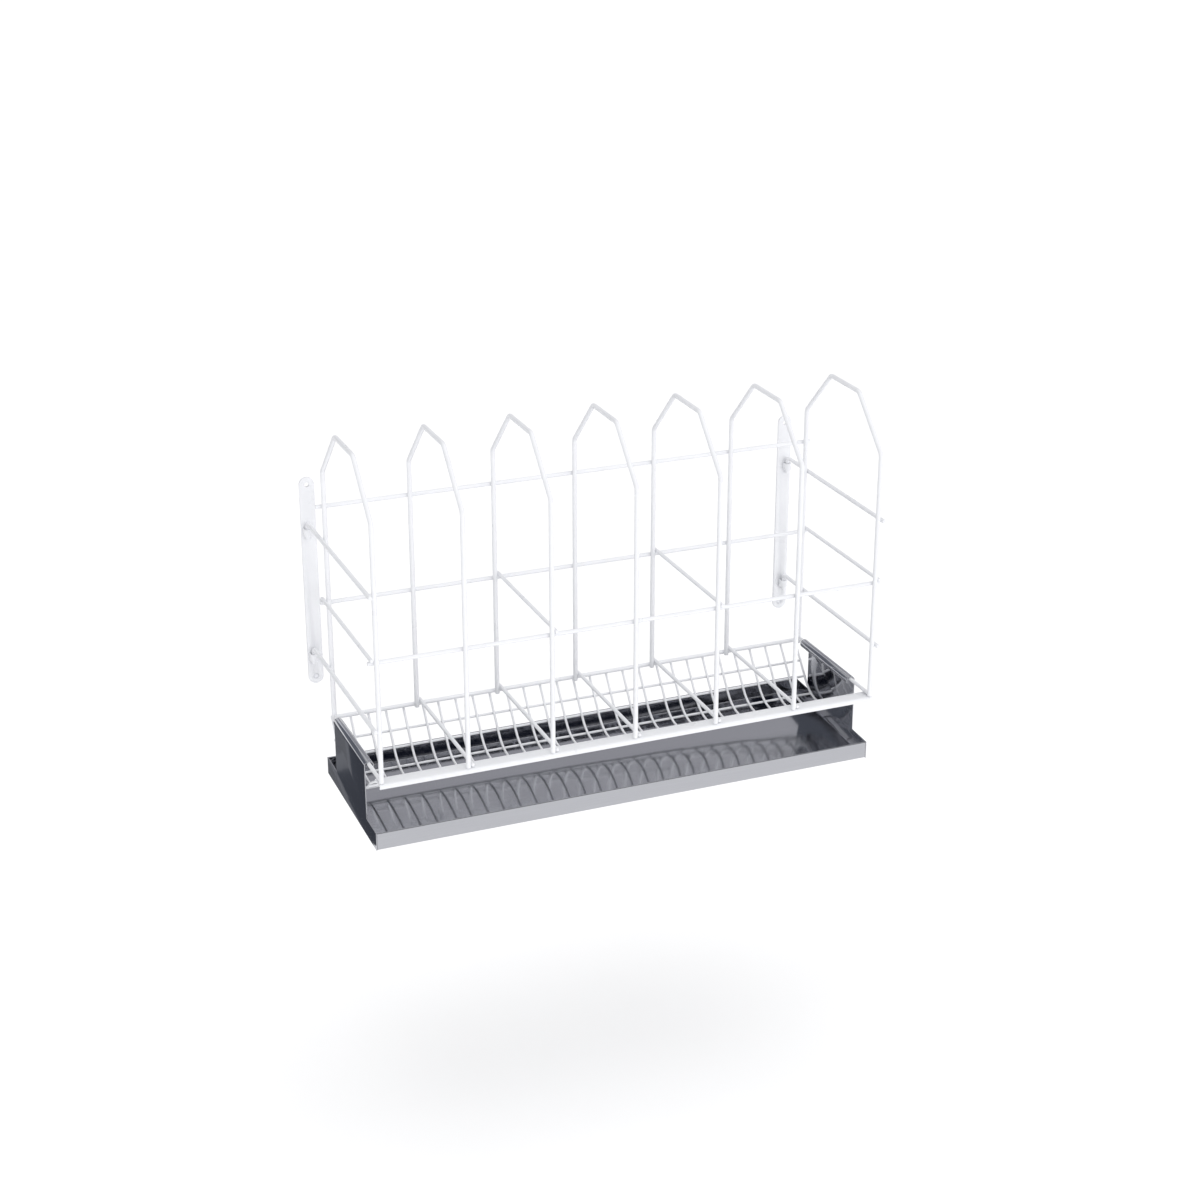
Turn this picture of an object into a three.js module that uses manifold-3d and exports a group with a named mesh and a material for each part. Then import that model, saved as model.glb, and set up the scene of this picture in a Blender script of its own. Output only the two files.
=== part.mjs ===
// Wall-hung dish drying rack: white coated wire rack on two wall strips, stainless drip tray below.
// Millimetres, +Z up. The wall is the plane Y = 0 and the rack stands out from it towards -Y.
// X = 0 is the middle of the rack and Z = 0 is the height of its bottom rails.
import * as THREE from 'three';
import { mergeVertices } from 'three/addons/utils/BufferGeometryUtils.js';
import Module from 'manifold-3d';

const wasm = await Module();
wasm.setup();

// Rack layout
const hoopCount = 7;
const hoopPitch = 90;
const rackDepth = 165;
const rearLegY = -58;
const frontLegY = rearLegY - rackDepth;
const weldGap = 0.3;

// Hoops: rectangular, with two chamfered upper corners
const hoopRadius = 2.5;
const hoopTopZ = 324;
const hoopChamfer = 52;
const hoopBendRadius = 9;

// Lengthwise rails
const railRadius = 2.2;
const railStub = 3;
const topRailZ = 233.5;
const midRailZ = 129.2;
const bottomRailZ = -0.5;

// Front bottom channel, a folded strip open underneath
const channelWidth = 17;
const channelHeight = 5;
const channelWall = 1.5;

// Wires that run from front to rear
const tieRadius = 2;
const tieHoops = [0, 2, 4, 6];
const hookTip = 4;

// Basket of thin wires: it hangs behind the rear bottom rail, dips into the tray and rises to the channel
const thinRadius = 1.3;
const basketCells = 28;
const basketWallAngle = 52;
const basketTopPoke = 2;
const basketCornerY = frontLegY + 125;
const basketBendRadius = 38;
const basketBendSteps = 8;
const basketFrontZ = -1.7;
const basketFrontGap = 1;
const endWireOutset = 0.9;
const longWirePlaces = [25, 43.5, 64.5, 114.5, 154.5];

// Arms that hang the rack on the wall
const armZ = { upper: 200, lower: 60 };
const armRadius = 2.2;
const armFrontPoke = 5;
const armBendRadius = 6;
const armDrop = 18;

// Wall strips with screw holes and eyes for the arms
const stripWidth = 16;
const stripThickness = 2.5;
const stripBottomZ = 18;
const stripTopZ = 248;
const stripOffset = 2.5;
const screwHoleRadius = 2.5;
const eyeHoleRadius = 2.6;
const eyeOuterRadius = 4.4;
const eyeReach = 3.4;
const eyeHeight = 8;

// Stainless drip tray
const sheet = 0.8;
const hemClearance = 0.4;
const hemInnerRadius = 4.2;
const hemTurn = 215;
const hemOverlap = 8;
const hemRearPoke = 3;
const cheekFrontY = frontLegY + 42;
const cheekRearY = frontLegY + 148.5;
const panFrontY = frontLegY + 10;
const panRearY = frontLegY + 183;
const panFrontUnderZ = -76.5;
const panRearUnderZ = -70.5;
const panHeight = 19;

// Worked out from the above
// A full circle is drawn with two sides for each curve segment
const wireSides = 12;
const arcSegments = 12;
const bendSteps = 4;
const hoopX = (index) => (index - (hoopCount - 1) / 2) * hoopPitch;
const endHoopX = hoopX(hoopCount - 1);
const sideOffset = hoopRadius + weldGap + railRadius;
const outerX = endHoopX + sideOffset;
const innerX = endHoopX + hoopRadius;
const railEndX = outerX + railStub;
const rearRailY = rearLegY + sideOffset;
const frontRailY = frontLegY + sideOffset;
const floorUnderZ = bottomRailZ + railRadius + weldGap;
const channelTopZ = floorUnderZ - weldGap;
const channelRearY = frontLegY - hoopRadius + channelWidth;
const runnerZ = floorUnderZ + tieRadius;
const hemZ = runnerZ + tieRadius + hemClearance - hemInnerRadius;
const cheekX = endHoopX + hemInnerRadius + sheet / 2;

const coated = { color: '#f1f2f6', roughness: 0.35, metalness: 0 };
const stainless = { color: '#b6b7ba', roughness: 0.22, metalness: 1 };

const rack = new THREE.Group();

function addPiece(name, geometry, finish) {
  const piece = new THREE.Mesh(geometry, new THREE.MeshStandardMaterial(finish));
  piece.name = name;
  rack.add(piece);
  return piece;
}

// A path through points that gives one ring of the wire at each point
class WirePath extends THREE.Curve {
  constructor(points) {
    super();
    this.points = points;
  }

  getPoint(t, target = new THREE.Vector3()) {
    const last = this.points.length - 1;
    const place = t * last;
    const index = Math.min(Math.floor(place), last - 1);
    return target.copy(this.points[index]).lerp(this.points[index + 1], place - index);
  }

  getPointAt(u, target) {
    return this.getPoint(u, target);
  }

  getTangentAt(u, target) {
    return this.getTangent(u, target);
  }
}

// Replaces each inner corner of a route by an arc of the bend radius
function bendRoute(corners, bendRadius, steps = bendSteps) {
  const points = [corners[0]];
  for (let index = 1; index < corners.length - 1; index += 1) {
    const corner = corners[index];
    const back = corners[index - 1].clone().sub(corner).normalize();
    const ahead = corners[index + 1].clone().sub(corner).normalize();
    const halfAngle = back.angleTo(ahead) / 2;
    const middle = back.clone().add(ahead).normalize();
    const centre = corner.clone().addScaledVector(middle, bendRadius / Math.sin(halfAngle));
    const start = corner.clone().addScaledVector(back, bendRadius / Math.tan(halfAngle)).sub(centre);
    const axis = back.clone().cross(ahead).normalize();
    const turn = -(Math.PI - 2 * halfAngle);
    for (let step = 0; step <= steps; step += 1) {
      points.push(start.clone().applyAxisAngle(axis, (turn * step) / steps).add(centre));
    }
  }
  points.push(corners[corners.length - 1]);
  return points;
}

function wire(points, radius) {
  const section = new THREE.Shape();
  section.absarc(0, 0, radius, 0, Math.PI * 2);
  return new THREE.ExtrudeGeometry(section, {
    steps: points.length - 1,
    curveSegments: wireSides / 2,
    extrudePath: new WirePath(points),
  });
}

const at = (x, y, z) => new THREE.Vector3(x, y, z);
const alongX = (halfLength, y, z) => [at(-halfLength, y, z), at(halfLength, y, z)];

function toSolid(geometry) {
  const bare = geometry.clone();
  bare.deleteAttribute('normal');
  bare.deleteAttribute('uv');
  const merged = mergeVertices(bare, 1e-4);
  return new wasm.Manifold(new wasm.Mesh({
    numProp: 3,
    vertProperties: new Float32Array(merged.attributes.position.array),
    triVerts: new Uint32Array(merged.index.array),
  }));
}

function toGeometry(solid) {
  const mesh = solid.getMesh();
  const geometry = new THREE.BufferGeometry();
  geometry.setAttribute('position', new THREE.BufferAttribute(mesh.vertProperties, 3));
  geometry.setIndex(new THREE.BufferAttribute(mesh.triVerts, 1));
  geometry.computeVertexNormals();
  return geometry;
}

// An outline drawn in (Y, Z) and run along X from startX
function alongXFrom(outline, startX, length) {
  const geometry = new THREE.ExtrudeGeometry(outline, { depth: length, bevelEnabled: false });
  geometry.applyMatrix4(new THREE.Matrix4().makeBasis(at(0, 1, 0), at(0, 0, 1), at(1, 0, 0)));
  geometry.translate(startX, 0, 0);
  return geometry;
}

function addHoops() {
  for (let index = 0; index < hoopCount; index += 1) {
    const x = hoopX(index);
    const shoulderZ = hoopTopZ - hoopChamfer;
    const corners = [
      at(x, rearLegY, bottomRailZ - railRadius),
      at(x, rearLegY, shoulderZ),
      at(x, rearLegY - hoopChamfer, hoopTopZ),
      at(x, frontLegY + hoopChamfer, hoopTopZ),
      at(x, frontLegY, shoulderZ),
      at(x, frontLegY, channelTopZ + weldGap),
    ];
    addPiece(`hoop_${index + 1}`, wire(bendRoute(corners, hoopBendRadius), hoopRadius), coated);
  }
}

function addRails() {
  addPiece('rear_top_rail', wire(alongX(railEndX, rearRailY, topRailZ), railRadius), coated);
  addPiece('rear_middle_rail', wire(alongX(railEndX, rearRailY, midRailZ), railRadius), coated);
  addPiece('front_middle_rail', wire(alongX(railEndX, frontRailY, midRailZ), railRadius), coated);
  addPiece('rear_bottom_rail', wire(alongX(innerX, rearRailY, bottomRailZ), railRadius), coated);
}

function addFrontChannel() {
  const front = frontLegY - hoopRadius;
  const rear = channelRearY;
  const bottom = channelTopZ - channelHeight;
  const outline = new THREE.Shape([
    new THREE.Vector2(front, bottom),
    new THREE.Vector2(front + channelWall, bottom),
    new THREE.Vector2(front + channelWall, channelTopZ - channelWall),
    new THREE.Vector2(rear - channelWall, channelTopZ - channelWall),
    new THREE.Vector2(rear - channelWall, bottom),
    new THREE.Vector2(rear, bottom),
    new THREE.Vector2(rear, channelTopZ),
    new THREE.Vector2(front, channelTopZ),
  ]);
  addPiece('front_bottom_channel', alongXFrom(outline, -innerX, 2 * innerX), coated);
}

// A wire from front to rear that hooks over a rear rail
function hookedWire(x, frontY, railZ) {
  const bend = railRadius + weldGap + tieRadius;
  const corners = [
    at(x, frontY, railZ + bend),
    at(x, rearRailY + bend, railZ + bend),
    at(x, rearRailY + bend, railZ - hookTip),
  ];
  return wire(bendRoute(corners, bend), tieRadius);
}

function addMiddleTies() {
  for (const index of tieHoops) {
    const outward = index === 0 ? -sideOffset : sideOffset;
    const tie = hookedWire(hoopX(index) + outward, frontLegY - 1, midRailZ);
    addPiece(`middle_tie_${index + 1}`, tie, coated);
  }
}

function addCrossWires() {
  for (let index = 1; index < hoopCount - 1; index += 1) {
    const crossWire = hookedWire(hoopX(index) + sideOffset, frontLegY, bottomRailZ);
    addPiece(`floor_cross_wire_${index + 1}`, crossWire, coated);
  }
}

// Direction away from the inside of the basket, for a wire that runs this way
const outwards = (direction) => at(0, -direction.z, direction.y);

// Centre line of a basket wire, moved outwards from the other wires' centre lines
function basketRoute(x, outset) {
  const wallAngle = THREE.MathUtils.degToRad(basketWallAngle);
  const rearRun = at(0, -Math.cos(wallAngle), -Math.sin(wallAngle));
  const rearOut = outwards(rearRun);
  const railDistance = railRadius + weldGap + thinRadius;
  const besideRail = at(x, rearRailY, bottomRailZ).addScaledVector(rearOut, railDistance);
  const top = besideRail.clone().addScaledVector(rearRun, -basketTopPoke).addScaledVector(rearOut, outset);
  const fall = (besideRail.y - basketCornerY) / Math.cos(wallAngle);
  const corner = besideRail.clone().addScaledVector(rearRun, fall);
  const front = at(x, channelRearY + basketFrontGap + outset, basketFrontZ);
  const frontOut = outwards(front.clone().sub(corner).normalize());
  const mitre = rearOut.clone().add(frontOut).multiplyScalar(outset / (1 + rearOut.dot(frontOut)));
  const corners = [top, corner.add(mitre), front.addScaledVector(frontOut, outset)];
  return bendRoute(corners, basketBendRadius + outset, basketBendSteps);
}

// Centre of a lengthwise wire that lies against the outside of the basket wires
function longWireCentre(place) {
  const route = basketRoute(0, 0);
  let left = place;
  let index = 0;
  while (left > route[index].distanceTo(route[index + 1])) {
    left -= route[index].distanceTo(route[index + 1]);
    index += 1;
  }
  const direction = route[index + 1].clone().sub(route[index]).normalize();
  const centre = route[index].clone().addScaledVector(direction, left);
  return centre.addScaledVector(outwards(direction), 2 * thinRadius + weldGap);
}

// A basket wire that would meet the hook of a cross wire stands just beside it
function clearOfHooks(x) {
  const clearance = thinRadius + weldGap + tieRadius;
  const hookX = Math.round((x - sideOffset) / hoopPitch) * hoopPitch + sideOffset;
  const distance = x - hookX;
  return Math.abs(distance) < clearance ? hookX + Math.sign(distance) * clearance : x;
}

function addBasket() {
  for (let cell = 1; cell < basketCells; cell += 1) {
    const x = clearOfHooks(-endHoopX + (cell * 2 * endHoopX) / basketCells);
    addPiece(`basket_wire_${cell}`, wire(basketRoute(x, 0), thinRadius), coated);
  }
  const ladder = [];
  for (const x of [-endHoopX, endHoopX]) {
    ladder.push(toSolid(wire(basketRoute(x, endWireOutset), thinRadius)));
  }
  for (const place of longWirePlaces) {
    const centre = longWireCentre(place);
    ladder.push(toSolid(wire(alongX(innerX, centre.y, centre.z), thinRadius)));
  }
  addPiece('basket_ladder', toGeometry(wasm.Manifold.union(ladder)), coated);
}

// The tray hangs on a runner that is welded between the two legs of each end hoop
function addRunnerAndArms(side, sign) {
  const legFace = hoopRadius + weldGap;
  const runner = [
    at(sign * endHoopX, frontLegY + legFace, runnerZ),
    at(sign * endHoopX, rearLegY - legFace, runnerZ),
  ];
  addPiece(`tray_runner_${side}`, wire(runner, tieRadius), coated);
  const x = sign * outerX;
  for (const [level, z] of Object.entries(armZ)) {
    const hookY = -stripThickness - eyeReach;
    const corners = [
      at(x, frontLegY - armFrontPoke, z),
      at(x, hookY, z),
      at(x, hookY, z - armDrop),
    ];
    addPiece(`wall_arm_${level}_${side}`, wire(bendRoute(corners, armBendRadius), armRadius), coated);
  }
}

function stripPlate(x) {
  const half = stripWidth / 2;
  const outline = new THREE.Shape();
  outline.absarc(0, stripBottomZ + half, half, Math.PI, Math.PI * 2);
  outline.absarc(0, stripTopZ - half, half, 0, Math.PI);
  for (const z of [stripBottomZ + half, stripTopZ - half]) {
    const hole = new THREE.Path();
    hole.absarc(0, z, screwHoleRadius, 0, Math.PI * 2);
    outline.holes.push(hole);
  }
  const plate = new THREE.ExtrudeGeometry(outline, {
    depth: stripThickness,
    bevelEnabled: false,
    curveSegments: arcSegments,
  });
  plate.rotateX(Math.PI / 2);
  plate.translate(x, 0, 0);
  return plate;
}

// A lug with an upright hole, for the turned-down end of an arm
function eye(x, topZ) {
  const weldDepth = 0.5;
  const faceY = eyeReach + weldDepth;
  const outline = new THREE.Shape();
  outline.moveTo(-eyeOuterRadius, faceY);
  outline.lineTo(-eyeOuterRadius, 0);
  outline.absarc(0, 0, eyeOuterRadius, Math.PI, Math.PI * 2);
  outline.lineTo(eyeOuterRadius, faceY);
  outline.closePath();
  const hole = new THREE.Path();
  hole.absarc(0, 0, eyeHoleRadius, 0, Math.PI * 2);
  outline.holes.push(hole);
  const lug = new THREE.ExtrudeGeometry(outline, {
    depth: eyeHeight,
    bevelEnabled: false,
    curveSegments: arcSegments,
  });
  lug.translate(x, -stripThickness - eyeReach, topZ - eyeHeight);
  return lug;
}

function addWallStrip(side, sign) {
  let strip = toSolid(stripPlate(sign * (endHoopX + stripOffset)));
  for (const z of Object.values(armZ)) {
    strip = strip.add(toSolid(eye(sign * outerX, z - armBendRadius - weldGap)));
  }
  addPiece(`wall_strip_${side}`, toGeometry(strip), coated);
}

// Underside of the pan from front to rear: the floor falls towards the front
const panUnderZ = (y) => THREE.MathUtils.mapLinear(y, panFrontY, panRearY, panFrontUnderZ, panRearUnderZ);

// End plate of the tray: an inverted T
function cheekPlate(x) {
  const outline = new THREE.Shape([
    new THREE.Vector2(panFrontY, panFrontUnderZ),
    new THREE.Vector2(panRearY, panRearUnderZ),
    new THREE.Vector2(panRearY, panRearUnderZ + panHeight),
    new THREE.Vector2(cheekRearY, panUnderZ(cheekRearY) + panHeight),
    new THREE.Vector2(cheekRearY, hemZ),
    new THREE.Vector2(cheekFrontY, hemZ),
    new THREE.Vector2(cheekFrontY, panUnderZ(cheekFrontY) + panHeight),
    new THREE.Vector2(panFrontY, panFrontUnderZ + panHeight),
  ]);
  return alongXFrom(outline, x - sheet / 2, sheet);
}

// Hem rolled inwards over the runner and down its inner side
function cheekHem(sign) {
  const start = THREE.MathUtils.degToRad(-hemOverlap);
  const end = THREE.MathUtils.degToRad(hemTurn);
  const outline = new THREE.Shape();
  outline.absarc(0, 0, hemInnerRadius + sheet, start, end, false);
  outline.absarc(0, 0, hemInnerRadius, end, start, true);
  const hem = new THREE.ExtrudeGeometry(outline, {
    depth: cheekRearY + hemRearPoke - cheekFrontY,
    bevelEnabled: false,
    curveSegments: arcSegments,
  });
  hem.rotateX(Math.PI / 2);
  hem.translate(endHoopX, cheekRearY + hemRearPoke, hemZ);
  const solid = toSolid(hem);
  return sign > 0 ? solid : solid.mirror([1, 0, 0]);
}

function addCheek(side, sign) {
  const cheek = toSolid(cheekPlate(sign * cheekX)).add(cheekHem(sign));
  addPiece(`tray_cheek_${side}`, toGeometry(cheek), stainless);
}

function addPan() {
  const outline = new THREE.Shape([
    new THREE.Vector2(panFrontY, panFrontUnderZ),
    new THREE.Vector2(panRearY, panRearUnderZ),
    new THREE.Vector2(panRearY, panRearUnderZ + panHeight),
    new THREE.Vector2(panRearY - sheet, panRearUnderZ + panHeight),
    new THREE.Vector2(panRearY - sheet, panRearUnderZ + sheet),
    new THREE.Vector2(panFrontY + sheet, panFrontUnderZ + sheet),
    new THREE.Vector2(panFrontY + sheet, panFrontUnderZ + panHeight),
    new THREE.Vector2(panFrontY, panFrontUnderZ + panHeight),
  ]);
  const halfLength = cheekX - sheet / 2 - weldGap;
  addPiece('drip_pan', alongXFrom(outline, -halfLength, 2 * halfLength), stainless);
}

addHoops();
addRails();
addFrontChannel();
addMiddleTies();
addCrossWires();
addBasket();
for (const [side, sign] of [['left', -1], ['right', 1]]) {
  addRunnerAndArms(side, sign);
  addWallStrip(side, sign);
  addCheek(side, sign);
}
addPan();

export default rack;
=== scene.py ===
import math

import bmesh
import bpy
from mathutils import Matrix, Vector


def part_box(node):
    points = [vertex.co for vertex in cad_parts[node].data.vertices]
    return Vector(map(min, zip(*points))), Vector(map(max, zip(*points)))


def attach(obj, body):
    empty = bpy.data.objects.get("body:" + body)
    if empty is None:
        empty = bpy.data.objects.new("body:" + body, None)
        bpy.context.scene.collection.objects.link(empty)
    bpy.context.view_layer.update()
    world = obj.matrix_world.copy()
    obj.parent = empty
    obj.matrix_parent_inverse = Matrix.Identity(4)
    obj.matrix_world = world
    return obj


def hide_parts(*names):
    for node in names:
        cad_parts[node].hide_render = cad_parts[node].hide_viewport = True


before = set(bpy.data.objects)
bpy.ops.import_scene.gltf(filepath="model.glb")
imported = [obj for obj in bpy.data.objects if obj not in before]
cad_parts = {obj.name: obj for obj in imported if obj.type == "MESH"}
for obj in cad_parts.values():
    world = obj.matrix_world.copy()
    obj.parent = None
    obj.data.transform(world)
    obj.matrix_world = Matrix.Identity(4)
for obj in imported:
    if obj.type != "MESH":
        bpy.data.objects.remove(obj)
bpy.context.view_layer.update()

mm = 0.001
xAxis, yAxis, zAxis = Vector((1, 0, 0)), Vector((0, 1, 0)), Vector((0, 0, 1))
print("frame loaded:", len(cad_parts), "nodes")


# The camera looks down at the rack from the front left; angles in degrees, lens in mm
camera = {
    "place": (-0.8253, -2.141, 1.0126),
    "azimuth": 22.29,
    "elevation": 22.35,
    "lens": 68.1,
}


def addCamera(facts):
    data = bpy.data.cameras.new("studioCamera")
    data.lens = facts["lens"]
    data.sensor_width = 36
    data.clip_end = 200
    azimuth, elevation = math.radians(facts["azimuth"]), math.radians(facts["elevation"])
    ahead = Vector((math.sin(azimuth) * math.cos(elevation),
                    math.cos(azimuth) * math.cos(elevation),
                    -math.sin(elevation)))
    obj = bpy.data.objects.new("studioCamera", data)
    obj.location = facts["place"]
    obj.rotation_euler = ahead.to_track_quat("-Z", "Y").to_euler()
    bpy.context.collection.objects.link(obj)
    bpy.context.scene.camera = obj


addCamera(camera)
print("camera placed")


# An sRGB hex colour as linear red, green, blue and alpha
def linear(hexColour):
    parts = [int(hexColour[i:i + 2], 16) / 255 for i in (1, 3, 5)]
    return [p / 12.92 if p <= 0.04045 else ((p + 0.055) / 1.055) ** 2.4 for p in parts] + [1]


# One node with its settings, values and links
def addNode(tree, kind, settings=None, inputs=None):
    node = tree.nodes.new(kind)
    for name, value in (settings or {}).items():
        setattr(node, name, value)
    for name, value in (inputs or {}).items():
        if isinstance(value, bpy.types.NodeSocket):
            tree.links.new(value, node.inputs[name])
        else:
            node.inputs[name].default_value = value
    return node


def newMaterial(name):
    material = bpy.data.materials.new(name)
    material.use_nodes = True
    material.node_tree.nodes.clear()
    return material, material.node_tree


def finishMaterial(tree, shaderInputs):
    shader = addNode(tree, "ShaderNodeBsdfPrincipled", None, shaderInputs)
    addNode(tree, "ShaderNodeOutputMaterial", None, {"Surface": shader.outputs["BSDF"]})


# White plastic coating, dipped and baked on steel wire: a smooth, slightly cool
# white with soft highlights, faint tone clouds and a fine orange peel.
coating = {
    "bright": "#f3f4f7",
    "dull": "#e9eaee",
    "cloudSize": 28 * mm,
    "peelSize": 1.6 * mm,
    "peelDepth": 0.05 * mm,
    "roughLow": 0.26,
    "roughHigh": 0.40,
}


def makeCoating(name, facts):
    material, tree = newMaterial(name)
    place = addNode(tree, "ShaderNodeTexCoord").outputs["Object"]
    clouds = addNode(tree, "ShaderNodeTexNoise", None,
                     {"Vector": place, "Scale": 1 / facts["cloudSize"], "Detail": 3})
    tone = addNode(tree, "ShaderNodeMix", {"data_type": "RGBA"},
                   {"Factor": clouds.outputs["Fac"]})
    tone.inputs[6].default_value = linear(facts["dull"])
    tone.inputs[7].default_value = linear(facts["bright"])
    peel = addNode(tree, "ShaderNodeTexNoise", None,
                   {"Vector": place, "Scale": 1 / facts["peelSize"], "Detail": 2})
    rough = addNode(tree, "ShaderNodeMapRange", None,
                    {"Value": clouds.outputs["Fac"], "From Min": 0.3, "From Max": 0.7,
                     "To Min": facts["roughLow"], "To Max": facts["roughHigh"]})
    bump = addNode(tree, "ShaderNodeBump", None,
                   {"Height": peel.outputs["Fac"], "Distance": facts["peelDepth"], "Strength": 0.6})
    finishMaterial(tree, {"Base Color": tone.outputs[2], "Roughness": rough.outputs["Result"],
                          "Normal": bump.outputs["Normal"], "IOR": 1.5})
    return material


# Stainless sheet, cold rolled and bright: a faint grain along the sheet and slow waves,
# which bend the mirrored wires a little.
bright = {
    "colour": "#b6b7bc",
    "grainAlong": 80 * mm,
    "grainAcross": 0.6 * mm,
    "grainDepth": 0.002 * mm,
    "waveSize": 55 * mm,
    "waveDepth": 0.30 * mm,
    "roughLow": 0.06,
    "roughHigh": 0.13,
}


def makeStainless(name, facts, grain):
    material, tree = newMaterial(name)
    place = addNode(tree, "ShaderNodeTexCoord").outputs["Object"]
    scale = [1 / facts["grainAcross"]] * 3
    scale["xyz".index(grain)] = 1 / facts["grainAlong"]
    stretched = addNode(tree, "ShaderNodeMapping", None, {"Vector": place, "Scale": scale})
    lines = addNode(tree, "ShaderNodeTexNoise", None,
                    {"Vector": stretched.outputs["Vector"], "Scale": 1, "Detail": 3})
    waves = addNode(tree, "ShaderNodeTexNoise", None,
                    {"Vector": place, "Scale": 1 / facts["waveSize"], "Detail": 1})
    rough = addNode(tree, "ShaderNodeMapRange", None,
                    {"Value": lines.outputs["Fac"], "From Min": 0.3, "From Max": 0.7,
                     "To Min": facts["roughLow"], "To Max": facts["roughHigh"]})
    tone = addNode(tree, "ShaderNodeMix", {"data_type": "RGBA"}, {"Factor": lines.outputs["Fac"]})
    base = linear(facts["colour"])
    tone.inputs[6].default_value = [c * 0.9 for c in base[:3]] + [1]
    tone.inputs[7].default_value = [min(1, c * 1.1) for c in base[:3]] + [1]
    wavy = addNode(tree, "ShaderNodeBump", None,
                   {"Height": waves.outputs["Fac"], "Distance": facts["waveDepth"], "Strength": 1})
    grained = addNode(tree, "ShaderNodeBump", None,
                      {"Height": lines.outputs["Fac"], "Distance": facts["grainDepth"],
                       "Strength": 1, "Normal": wavy.outputs["Normal"]})
    finishMaterial(tree, {"Base Color": tone.outputs[2], "Metallic": 1,
                          "Roughness": rough.outputs["Result"], "Normal": grained.outputs["Normal"]})
    return material


wireCoating = makeCoating("dippedWhiteCoating", coating)
stripCoating = makeCoating("whitePowderCoat", coating)
brightAlongX = makeStainless("brightStainlessAlongX", bright, "x")
brightAlongY = makeStainless("brightStainlessAlongY", bright, "y")
print("materials made")


# A finished piece that rides on a body and stands for some of its nodes
def addPiece(name, bm, material, body, nodes, smoothAngle=40):
    mesh = bpy.data.meshes.new(name)
    bm.to_mesh(mesh)
    bm.free()
    mesh.shade_smooth()
    mesh.set_sharp_from_angle(angle=math.radians(smoothAngle))
    mesh.materials.append(material)
    piece = bpy.data.objects.new(name, mesh)
    bpy.context.collection.objects.link(piece)
    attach(piece, body)
    if nodes:
        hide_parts(*nodes)
    return piece


def cleanUp(bm):
    bmesh.ops.remove_doubles(bm, verts=bm.verts, dist=1e-6)
    bmesh.ops.recalc_face_normals(bm, faces=bm.faces)


# Draws a ring of edges onwards, and gives the new ring
def ringStep(bm, ring, move, centre=None, scale=1):
    made = bmesh.ops.extrude_edge_only(bm, edges=ring)["geom"]
    verts = [g for g in made if isinstance(g, bmesh.types.BMVert)]
    if scale != 1:
        bmesh.ops.scale(bm, verts=verts, vec=[scale] * 3, space=Matrix.Translation(-centre))
    bmesh.ops.translate(bm, verts=verts, vec=move)
    fresh = set(verts)
    return [g for g in made if isinstance(g, bmesh.types.BMEdge) and set(g.verts) <= fresh]


# A round wire with rounded ends: it starts as a circle and is drawn along straights and bends.
def drawWire(bm, start, heading, moves, radius, sides, bendSteps=8):
    dome = ((0.55, 0.0), (0.8, 0.12), (0.94, 0.3), (1.0, 0.55))
    reach = dome[-1][1] * radius
    turned = Matrix.Translation(start) @ heading.to_track_quat("Z", "Y").to_matrix().to_4x4()
    made = bmesh.ops.create_circle(bm, cap_ends=True, segments=sides,
                                   radius=radius * dome[0][0], matrix=turned)
    face = made["verts"][0].link_faces[0]
    ring = list(face.edges)
    point = start.copy()
    for (last, low), (size, high) in zip(dome, dome[1:]):
        step = heading * (high - low) * radius
        ring = ringStep(bm, ring, step, point, size / last)
        point += step
    for index, move in enumerate(moves):
        if move[0] == "straight":
            roundEnds = (index == 0) + (index == len(moves) - 1)
            length = move[1] - roundEnds * reach
            ring = ringStep(bm, ring, heading * length)
            point += heading * length
        else:
            axis, angle, bendRadius = move[1:]
            centre = point + axis.cross(heading) * bendRadius
            verts = list({v for e in ring for v in e.verts})
            spun = bmesh.ops.spin(bm, geom=verts + ring, cent=centre, axis=axis,
                                  angle=math.radians(angle), steps=bendSteps)["geom_last"]
            ring = [g for g in spun if isinstance(g, bmesh.types.BMEdge)]
            turn = Matrix.Rotation(math.radians(angle), 3, axis)
            point = centre + turn @ (point - centre)
            heading = turn @ heading
    for (size, high), (last, low) in zip(dome[::-1], dome[-2::-1]):
        step = heading * (high - low) * radius
        ring = ringStep(bm, ring, step, point, last / size)
        point += step
    bmesh.ops.contextual_create(bm, geom=ring)


def wirePiece(name, node, start, heading, moves, radius, sides):
    bm = bmesh.new()
    drawWire(bm, start, heading, moves, radius, sides)
    cleanUp(bm)
    addPiece(name, bm, wireCoating, "wire_rack", [node])


# Straight wires take their length, place and thickness from the frame.
def straightWire(name, node, sides):
    low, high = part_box(node)
    size = high - low
    along = max(range(3), key=lambda i: size[i])
    radius = min(size) / 2
    start = (low + high) / 2
    start[along] = low[along]
    heading = Vector([1.0 if i == along else 0.0 for i in range(3)])
    wirePiece(name, node, start, heading, [("straight", size[along])], radius, sides)


# A wire towards the wall whose end is turned down
def turnedDownWire(name, node, bendRadius, sides):
    low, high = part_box(node)
    radius = (high.x - low.x) / 2
    start = Vector(((low.x + high.x) / 2, low.y, high.z - radius))
    moves = [
        ("straight", high.y - radius - bendRadius - low.y),
        ("bend", -xAxis, 90, bendRadius),
        ("straight", high.z - radius - bendRadius - low.z),
    ]
    wirePiece(name, node, start, yAxis.copy(), moves, radius, sides)


hoop = {
    "count": 7,
    "chamfer": 52 * mm,
    "bendRadius": 9 * mm,
    "sides": 28,
    "topZ": 324 * mm,
    "weldGap": 0.3 * mm,
}


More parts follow.
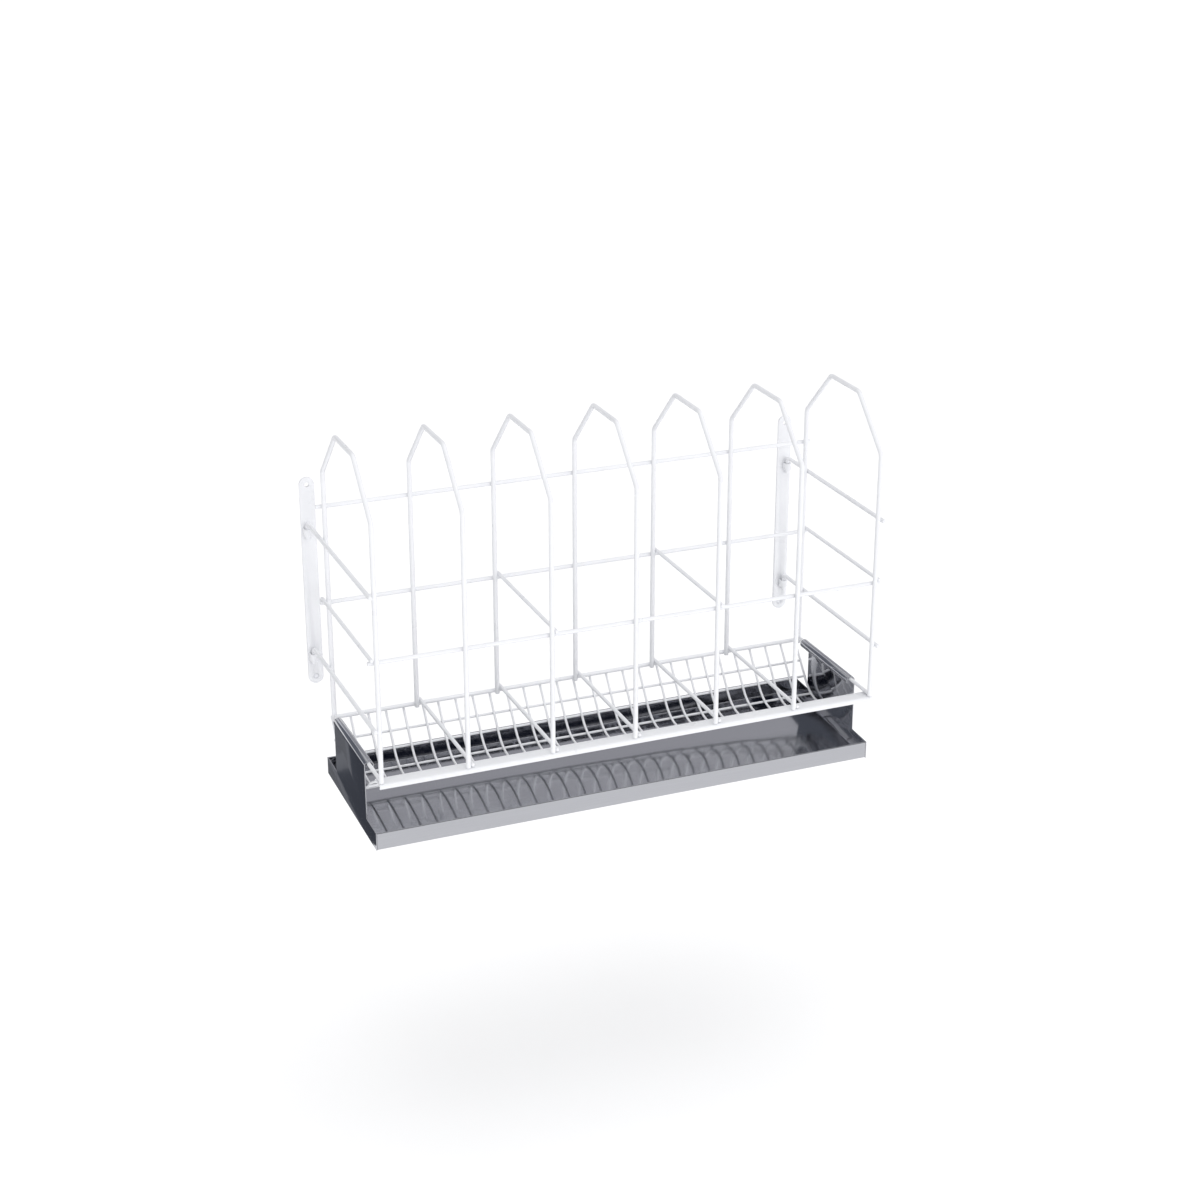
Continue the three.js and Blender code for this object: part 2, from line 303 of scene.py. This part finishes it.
def makeHoops(facts):
    tangent = facts["bendRadius"] * math.tan(math.radians(45 / 2))  # bends of 45 degrees
    slope = facts["chamfer"] * math.sqrt(2) - 2 * tangent
    shoulder = facts["topZ"] - facts["chamfer"]
    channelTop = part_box("front_bottom_channel")[1].z
    for number in range(1, facts["count"] + 1):
        node = f"hoop_{number}"
        low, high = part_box(node)
        radius = (high.x - low.x) / 2
        depth = high.y - low.y - 2 * radius
        foot = low.z
        start = Vector(((low.x + high.x) / 2, high.y - radius, foot))
        bend = ("bend", xAxis, 45, facts["bendRadius"])
        moves = [
            ("straight", shoulder - foot - tangent), bend,
            ("straight", slope), bend,
            ("straight", depth - 2 * facts["chamfer"] - 2 * tangent), bend,
            ("straight", slope), bend,
            ("straight", shoulder - tangent - channelTop - facts["weldGap"]),
        ]
        wirePiece(f"hoopWire_{number}", node, start, zAxis.copy(), moves, radius, facts["sides"])


makeHoops(hoop)

hook = {"tieBend": 4.5 * mm, "tieSides": 24, "armBend": 6 * mm, "armSides": 28}
for rail in ("rear_top_rail", "rear_middle_rail", "front_middle_rail", "rear_bottom_rail"):
    straightWire(f"{rail}_wire", rail, hoop["sides"])
for number in (1, 3, 5, 7):
    turnedDownWire(f"middleTie_{number}", f"middle_tie_{number}", hook["tieBend"], hook["tieSides"])
for number in range(2, 7):
    turnedDownWire(f"crossWire_{number}", f"floor_cross_wire_{number}", hook["tieBend"],
                   hook["tieSides"])
for side in ("left", "right"):
    straightWire(f"runner_{side}", f"tray_runner_{side}", hoop["sides"])
    for level in ("upper", "lower"):
        turnedDownWire(f"arm_{level}_{side}", f"wall_arm_{level}_{side}", hook["armBend"],
                       hook["armSides"])
print("frame wires drawn")


# The basket of thin wires goes from behind the rear bottom rail to the back of the front channel.
# Places of the lengthwise wires are millimetres along a basket wire.
basket = {
    "radius": 1.3 * mm,
    "gap": 0.3 * mm,
    "wallAngle": 52,
    "topPoke": 2 * mm,
    "cornerY": -98 * mm,
    "bendRadius": 38 * mm,
    "frontZ": -1.7 * mm,
    "frontGap": 1 * mm,
    "endOutset": 0.9 * mm,
    "longPlaces": (25, 43.5, 64.5, 114.5, 154.5),
    "count": 27,
    "sides": 14,
    "endInset": 2.5 * mm,
    "crossBead": (1.15 * mm, 1.1 * mm, 1.1 * mm),
    "railBead": (1.2 * mm, 1.1 * mm, 1.3 * mm),
    "channelBead": (1.5 * mm, 0.9 * mm, 1.3 * mm),
    "channelBeadOut": 0.6 * mm,
    "channelBeadDown": 0.2 * mm,
}


# Away from the inside of the basket, for a wire that runs this way
def outwards(heading):
    return Vector((0, -heading.z, heading.y))


# Start, first direction and moves of a basket wire, moved outwards by the outset
def basketRoute(facts, x, outset):
    railLow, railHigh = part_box("rear_bottom_rail")
    rail = (railLow + railHigh) / 2
    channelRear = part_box("front_bottom_channel")[1].y
    angle = math.radians(facts["wallAngle"])
    rearRun = Vector((0, -math.cos(angle), -math.sin(angle)))
    rearOut = outwards(rearRun)
    railReach = (railHigh.z - railLow.z) / 2 + facts["gap"] + facts["radius"]
    beside = Vector((x, rail.y, rail.z)) + rearOut * railReach
    corner = beside + rearRun * (beside.y - facts["cornerY"]) / math.cos(angle)
    front = Vector((x, channelRear + facts["frontGap"] + outset, facts["frontZ"]))
    frontRun = (front - corner).normalized()
    frontOut = outwards(frontRun)
    corner += (rearOut + frontOut) * outset / (1 + rearOut.dot(frontOut))
    top = beside - rearRun * facts["topPoke"] + rearOut * outset
    front += frontOut * outset
    turn = rearRun.angle(frontRun)
    bendRadius = facts["bendRadius"] + outset
    tangent = bendRadius * math.tan(turn / 2)
    moves = [
        ("straight", (corner - top).length - tangent),
        ("bend", -xAxis, math.degrees(turn), bendRadius),
        ("straight", (front - corner).length - tangent),
    ]
    return top, rearRun, moves


# Point and direction at a distance along a basket wire
def basketPlace(facts, distance):
    point, heading, (first, bend, last) = basketRoute(facts, 0, 0)
    if distance <= first[1]:
        return point + heading * distance, heading
    axis, degrees, bendRadius = bend[1:]
    corner = point + heading * first[1]
    centre = corner + axis.cross(heading) * bendRadius
    turned = min((distance - first[1]) / bendRadius, math.radians(degrees))
    turn = Matrix.Rotation(turned, 3, axis)
    point, heading = centre + turn @ (corner - centre), turn @ heading
    return point + heading * (distance - first[1] - turned * bendRadius), heading


# A weld bead is a small low ball between two wires
def addBead(bm, place, size):
    made = bmesh.ops.create_uvsphere(bm, u_segments=8, v_segments=5, radius=1)["verts"]
    bmesh.ops.scale(bm, verts=made, vec=size)
    bmesh.ops.translate(bm, verts=made, vec=place)


def makeBasket(facts):
    radius = facts["radius"]
    centres = []
    for number in range(1, facts["count"] + 1):
        node = f"basket_wire_{number}"
        low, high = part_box(node)
        centres.append((low.x + high.x) / 2)
        start, heading, moves = basketRoute(facts, centres[-1], 0)
        wirePiece(f"basketWire_{number}", node, start, heading, moves, radius, facts["sides"])
    low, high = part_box("basket_ladder")
    endX = high.x - facts["endInset"]
    ladder, beads = bmesh.new(), bmesh.new()
    for x in (-endX, endX):
        start, heading, moves = basketRoute(facts, x, facts["endOutset"])
        drawWire(ladder, start, heading, moves, radius, facts["sides"])
    for distance in facts["longPlaces"]:
        point, heading = basketPlace(facts, distance * mm)
        reach = 2 * radius + facts["gap"]
        longStart = point + outwards(heading) * reach
        longStart.x = low.x
        drawWire(ladder, longStart, xAxis.copy(), [("straight", high.x - low.x)], radius, facts["sides"])
        for x in centres:
            place = point + outwards(heading) * reach / 2
            place.x = x
            addBead(beads, place, facts["crossBead"])
    cleanUp(ladder)
    addPiece("basketLadder", ladder, wireCoating, "wire_rack", ["basket_ladder"])
    railTop, railRun = basketPlace(facts, facts["topPoke"])
    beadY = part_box("front_bottom_channel")[1].y + facts["channelBeadOut"]
    beadZ = facts["frontZ"] - facts["channelBeadDown"]
    for x in centres:
        rail = railTop - outwards(railRun) * (radius + facts["gap"] / 2)
        addBead(beads, (x, rail.y, rail.z), facts["railBead"])
        addBead(beads, (x, beadY, beadZ), facts["channelBead"])
    addPiece("basketWelds", beads, wireCoating, "wire_rack", [])


makeBasket(basket)
print("basket drawn")


# A strip folded at its corners, given in Y and Z, and run along X
def foldedStrip(bm, corners, foldRadius, startX, length):
    verts = [bm.verts.new((startX, y, z)) for y, z in corners]
    for first, second in zip(verts, verts[1:]):
        bm.edges.new((first, second))
    if foldRadius:
        bmesh.ops.bevel(bm, geom=verts[1:-1], offset=foldRadius, offset_type="OFFSET", affect="VERTICES",
                        segments=4, profile=0.5, material=-1)
    made = bmesh.ops.extrude_edge_only(bm, edges=bm.edges[:])["geom"]
    bmesh.ops.translate(bm, verts=[g for g in made if isinstance(g, bmesh.types.BMVert)],
                        vec=(length, 0, 0))


# Gives a folded sheet its thickness and softens its cut edges
def thicken(piece, thickness, edge, segments=2):
    wall = piece.modifiers.new("wall", "SOLIDIFY")
    wall.thickness = thickness
    wall.offset = 0
    wall.use_even_offset = True
    rounding = piece.modifiers.new("edges", "BEVEL")
    rounding.width = edge
    rounding.segments = segments
    rounding.limit_method = "ANGLE"
    rounding.angle_limit = math.radians(50)


channel = {"wall": 1.5 * mm, "foldRadius": 1.2 * mm, "edge": 0.25 * mm}


def makeChannel(facts):
    low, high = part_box("front_bottom_channel")
    half = facts["wall"] / 2
    corners = [
        (low.y + half, low.z), (low.y + half, high.z - half),
        (high.y - half, high.z - half), (high.y - half, low.z),
    ]
    bm = bmesh.new()
    foldedStrip(bm, corners, facts["foldRadius"], low.x, high.x - low.x)
    cleanUp(bm)
    piece = addPiece("frontChannel", bm, wireCoating, "wire_rack",
                     ["front_bottom_channel"])
    thicken(piece, facts["wall"], facts["edge"])


makeChannel(channel)

tray = {
    "sheet": 0.8 * mm,
    "foldRadius": 1.6 * mm,
    "edge": 0.12 * mm,
    "hemDepth": 6 * mm,
    "hemFold": 1.1 * mm,
    "hemInner": 4.2 * mm,
    "hemTurn": 215,
    "hemPoke": 3 * mm,
    "hemCorner": 2.5 * mm,
    "height": 19 * mm,
    "cheekFront": 32 * mm,
    "cheekRear": 34.5 * mm,
}


# The pan's front and rear lips have their edges folded down inside.
def makePan(facts):
    low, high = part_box("drip_pan")
    half = facts["sheet"] / 2
    height, hem, deep = facts["height"], facts["hemFold"], facts["hemDepth"]
    front, rear = low.y + half, high.y - half
    frontFloor, frontRim = low.z + half, low.z + height - half
    rearFloor, rearRim = high.z - height + half, high.z - half
    corners = [
        (front + hem, frontRim - deep), (front + hem, frontRim), (front, frontRim), (front, frontFloor),
        (rear, rearFloor), (rear, rearRim), (rear - hem, rearRim), (rear - hem, rearRim - deep),
    ]
    bm = bmesh.new()
    foldedStrip(bm, corners, 0, low.x, high.x - low.x)
    folds = [e for e in bm.edges if len(e.link_faces) == 2 and e.verts[0].co.z < frontRim - deep]
    bmesh.ops.bevel(bm, geom=folds, offset=facts["foldRadius"], offset_type="OFFSET", affect="EDGES",
                    segments=5, profile=0.5, material=-1)
    hems = [e for e in bm.edges if len(e.link_faces) == 2 and e.verts[0].co.z > frontRim - half
            and abs(e.verts[0].co.x - e.verts[1].co.x) > half]
    bmesh.ops.bevel(bm, geom=hems, offset=hem * 0.48, offset_type="OFFSET", affect="EDGES",
                    segments=4, profile=0.5, material=-1)
    cleanUp(bm)
    piece = addPiece("dripPanSheet", bm, brightAlongX, "drip_tray", ["drip_pan"])
    thicken(piece, facts["sheet"], facts["edge"])


# Height of the pan's rim, which falls towards the front
def rimZ(facts, y):
    low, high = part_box("drip_pan")
    share = (y - low.y) / (high.y - low.y)
    return low.z + facts["height"] + share * (high.z - low.z - facts["height"])


# An end plate shaped like an upturned T, with a hem rolled over the runner
def makeCheek(facts, side, sign):
    node = f"tray_cheek_{side}"
    low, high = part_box(node)
    runnerLow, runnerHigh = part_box(f"tray_runner_{side}")
    reach = facts["hemInner"] + facts["sheet"] / 2
    axisX, axisZ = (runnerLow.x + runnerHigh.x) / 2, high.z - facts["sheet"] / 2 - reach
    frontEdge, rearEdge = low.y + facts["cheekFront"], high.y - facts["cheekRear"]
    outline = [
        (low.y, low.z), (high.y, rimZ(facts, high.y) - facts["height"]), (high.y, rimZ(facts, high.y)),
        (rearEdge, rimZ(facts, rearEdge)), (rearEdge, axisZ - facts["hemCorner"]),
        (rearEdge + facts["hemPoke"], axisZ), (frontEdge, axisZ),
        (frontEdge, rimZ(facts, frontEdge)), (low.y, rimZ(facts, low.y)),
    ]
    bm = bmesh.new()
    verts = [bm.verts.new((axisX + sign * reach, y, z)) for y, z in outline]
    bm.faces.new(verts)
    top = [e for e in bm.edges if all(abs(v.co.z - axisZ) < 1e-7 for v in e.verts)]
    ends = list({v for e in top for v in e.verts})
    bmesh.ops.spin(bm, geom=ends + top, cent=(axisX, 0, axisZ), axis=yAxis * sign,
                   angle=math.radians(-facts["hemTurn"]), steps=22)
    cleanUp(bm)
    piece = addPiece(f"cheekSheet_{side}", bm, brightAlongY, "drip_tray", [node])
    thicken(piece, facts["sheet"], facts["edge"])


makePan(tray)
for side, sign in (("left", -1), ("right", 1)):
    makeCheek(tray, side, sign)
print("tray folded")


# Wall strips with countersunk screw holes, and an eye for each arm
strip = {
    "thickness": 2.5 * mm,
    "edge": 0.4 * mm,
    "screwHole": 5 * mm,
    "sink": 8.4 * mm,
    "sinkDepth": 3.4 * mm,
    "sinkExtra": 0.6 * mm,
    "eyeWall": 1.8 * mm,
    "eyeRadius": 3.5 * mm,
    "eyeHeight": 8 * mm,
    "eyeDrop": 6.3 * mm,
    "eyeEdge": 0.3 * mm,
}


# Cuts a shape out of a piece and leaves plain faces behind
def cutWith(piece, cutterMesh):
    cutter = bpy.data.objects.new("cutter", cutterMesh)
    bpy.context.collection.objects.link(cutter)
    cut = piece.modifiers.new("holes", "BOOLEAN")
    cut.operation = "DIFFERENCE"
    cut.object = cutter
    cut.solver = "EXACT"
    solid = piece.evaluated_get(bpy.context.evaluated_depsgraph_get()).to_mesh()
    bm = bmesh.new()
    bm.from_mesh(solid)
    piece.modifiers.clear()
    bpy.data.objects.remove(cutter)
    bm.to_mesh(piece.data)
    bm.free()


def makeStrip(facts, side):
    node = f"wall_strip_{side}"
    low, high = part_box(node)
    half = (high.x - low.x) / 2
    middleX = (low.x + high.x) / 2
    plateY = high.y - facts["thickness"]
    bm = bmesh.new()
    bmesh.ops.create_cube(bm, size=1)
    bmesh.ops.scale(bm, verts=bm.verts, vec=(2 * half, facts["thickness"], high.z - low.z))
    bmesh.ops.translate(bm, verts=bm.verts,
                        vec=(middleX, (plateY + high.y) / 2, (low.z + high.z) / 2))
    corners = [e for e in bm.edges if abs(e.verts[0].co.y - e.verts[1].co.y) > 1e-4]
    bmesh.ops.bevel(bm, geom=corners, offset=half * 0.995, offset_type="OFFSET", affect="EDGES",
                    segments=12, profile=0.5, material=-1)
    bmesh.ops.recalc_face_normals(bm, faces=bm.faces)
    rim = [e for e in bm.edges if len(e.link_faces) == 2 and e.calc_face_angle() > 1]
    bmesh.ops.bevel(bm, geom=rim, offset=facts["edge"], offset_type="OFFSET", affect="EDGES",
                    segments=3, profile=0.5, material=-1)
    piece = addPiece(f"stripPlate_{side}", bm, stripCoating, "wall_strips", [node], 30)
    cutter = bmesh.new()
    hole = facts["screwHole"] / 2
    sink = facts["sink"] / 2
    upright = Matrix.Rotation(math.radians(90), 4, "X")
    for z in (low.z + half, high.z - half):
        flat = Matrix.Translation((middleX, high.y, z)) @ upright
        bmesh.ops.create_cone(cutter, cap_ends=True, segments=32, radius1=hole, radius2=hole,
                              depth=4 * facts["thickness"], matrix=flat)
        sunk = Matrix.Translation((middleX, plateY, z)) @ upright
        bmesh.ops.create_cone(cutter, cap_ends=True, segments=32, radius1=hole - facts["sinkExtra"],
                              radius2=sink + facts["sinkExtra"], depth=facts["sinkDepth"], matrix=sunk)
    mesh = bpy.data.meshes.new("cutter")
    cutter.to_mesh(mesh)
    cutter.free()
    cutWith(piece, mesh)


# The eye is a strap bent round the arm's end, with two feet on the strip.
def makeEye(facts, side, level):
    armLow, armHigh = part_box(f"wall_arm_{level}_{side}")
    stripLow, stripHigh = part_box(f"wall_strip_{side}")
    radius = (armHigh.x - armLow.x) / 2
    centre = Vector(((armLow.x + armHigh.x) / 2, armHigh.y - radius, armHigh.z - radius))
    topZ = centre.z - facts["eyeDrop"]
    bendRadius = facts["eyeRadius"]
    face = stripHigh.y - facts["thickness"] - facts["eyeWall"] / 2
    bm = bmesh.new()
    start = bm.verts.new((centre.x - bendRadius, centre.y, topZ))
    lower = bm.verts.new((centre.x - bendRadius, centre.y, topZ - facts["eyeHeight"]))
    edge = bm.edges.new((start, lower))
    spun = bmesh.ops.spin(bm, geom=[start, lower, edge], cent=(centre.x, centre.y, 0), axis=zAxis,
                          angle=math.radians(180), steps=16)["geom_last"]
    ends = [[edge], [g for g in spun if isinstance(g, bmesh.types.BMEdge)]]
    for edges in ends:
        made = bmesh.ops.extrude_edge_only(bm, edges=edges)["geom"]
        verts = [g for g in made if isinstance(g, bmesh.types.BMVert)]
        bmesh.ops.translate(bm, verts=verts, vec=(0, face - centre.y + facts["eyeWall"] / 2, 0))
    cleanUp(bm)
    piece = addPiece(f"eyeStrap_{level}_{side}", bm, stripCoating, "wall_strips", [])
    thicken(piece, facts["eyeWall"], facts["eyeEdge"], 3)


for side in ("left", "right"):
    makeStrip(strip, side)
    for level in ("upper", "lower"):
        makeEye(strip, side, level)
print("wall strips made")


# A plain pale floor, soft light from the front and above; spread in degrees
studio = {
    "floorZ": -0.42,
    "floorColour": "#f7f7f8",
    "floorGlow": 0.2,
    "worldStrength": 0.68,
    "frontSun": 1.35,
    "topSun": 0.65,
    "spread": 50,
}


def addFloor(facts):
    bm = bmesh.new()
    bmesh.ops.create_grid(bm, x_segments=1, y_segments=1, size=40)
    bmesh.ops.translate(bm, verts=bm.verts, vec=(0, 0, facts["floorZ"]))
    mesh = bpy.data.meshes.new("floor")
    bm.to_mesh(mesh)
    bm.free()
    material, tree = newMaterial("paleFloorPaint")
    finishMaterial(tree, {"Base Color": linear(facts["floorColour"]), "Roughness": 0.9,
                          "Emission Color": (1, 1, 1, 1), "Emission Strength": facts["floorGlow"]})
    mesh.materials.append(material)
    floor = bpy.data.objects.new("floor", mesh)
    bpy.context.collection.objects.link(floor)


def addSun(name, heading, strength, spread):
    data = bpy.data.lights.new(name, "SUN")
    data.energy = strength
    data.angle = math.radians(spread)
    light = bpy.data.objects.new(name, data)
    light.rotation_euler = Vector(heading).to_track_quat("-Z", "Y").to_euler()
    light.visible_glossy = False
    bpy.context.collection.objects.link(light)


# Boards that show only in the shiny sheet, as a studio has beside a polished thing
def addCard(name, place, aim, width, height, colour):
    bm = bmesh.new()
    bmesh.ops.create_grid(bm, x_segments=1, y_segments=1, size=0.5)
    bmesh.ops.scale(bm, verts=bm.verts, vec=(width, height, 1))
    mesh = bpy.data.meshes.new(name)
    bm.to_mesh(mesh)
    bm.free()
    material, tree = newMaterial(f"{name}Glow")
    glow = addNode(tree, "ShaderNodeEmission", None, {"Color": linear(colour), "Strength": 1})
    addNode(tree, "ShaderNodeOutputMaterial", None, {"Surface": glow.outputs["Emission"]})
    mesh.materials.append(material)
    card = bpy.data.objects.new(name, mesh)
    card.location = place
    card.rotation_euler = (Vector(aim) - Vector(place)).to_track_quat("-Z", "Y").to_euler()
    card.visible_camera = False
    card.visible_diffuse = False
    card.visible_shadow = False
    card.visible_transmission = False
    bpy.context.collection.objects.link(card)


def addStudio(facts):
    addFloor(facts)
    world = bpy.data.worlds.new("studioWorld")
    bpy.context.scene.world = world
    world.use_nodes = True
    sky = world.node_tree.nodes["Background"]
    sky.inputs["Color"].default_value = (1, 1, 1, 1)
    sky.inputs["Strength"].default_value = facts["worldStrength"]
    addSun("frontSun", (-0.2, 0.97, -0.1), facts["frontSun"], facts["spread"])
    addSun("topSun", (-0.1, 0.1, -1), facts["topSun"], facts["spread"])
    addCard("darkFrontCard", (1.2, -4.0, 1.9), (0, 0, 0.1), 9, 3.2, "#1e2230")
    addCard("backRightCard", (1.6, 3.2, 1.5), (0, -0.1, 0), 5, 3, "#bcbcc1")
    addCard("backLeftCard", (-2.3, 2.8, 1.4), (0, -0.1, 0), 4.4, 3, "#7b7f87")
    addCard("lowLeftCard", (-0.95, 0.85, -0.41), (-0.95, 0.85, 1), 1.1, 1.2, "#4c4f57")
    addCard("lowRearCard", (0.05, 0.85, -0.41), (0.05, 0.85, 1), 0.9, 1.2, "#75777d")
    bpy.context.scene.view_settings.view_transform = "Standard"


addStudio(studio)
print("studio lit")
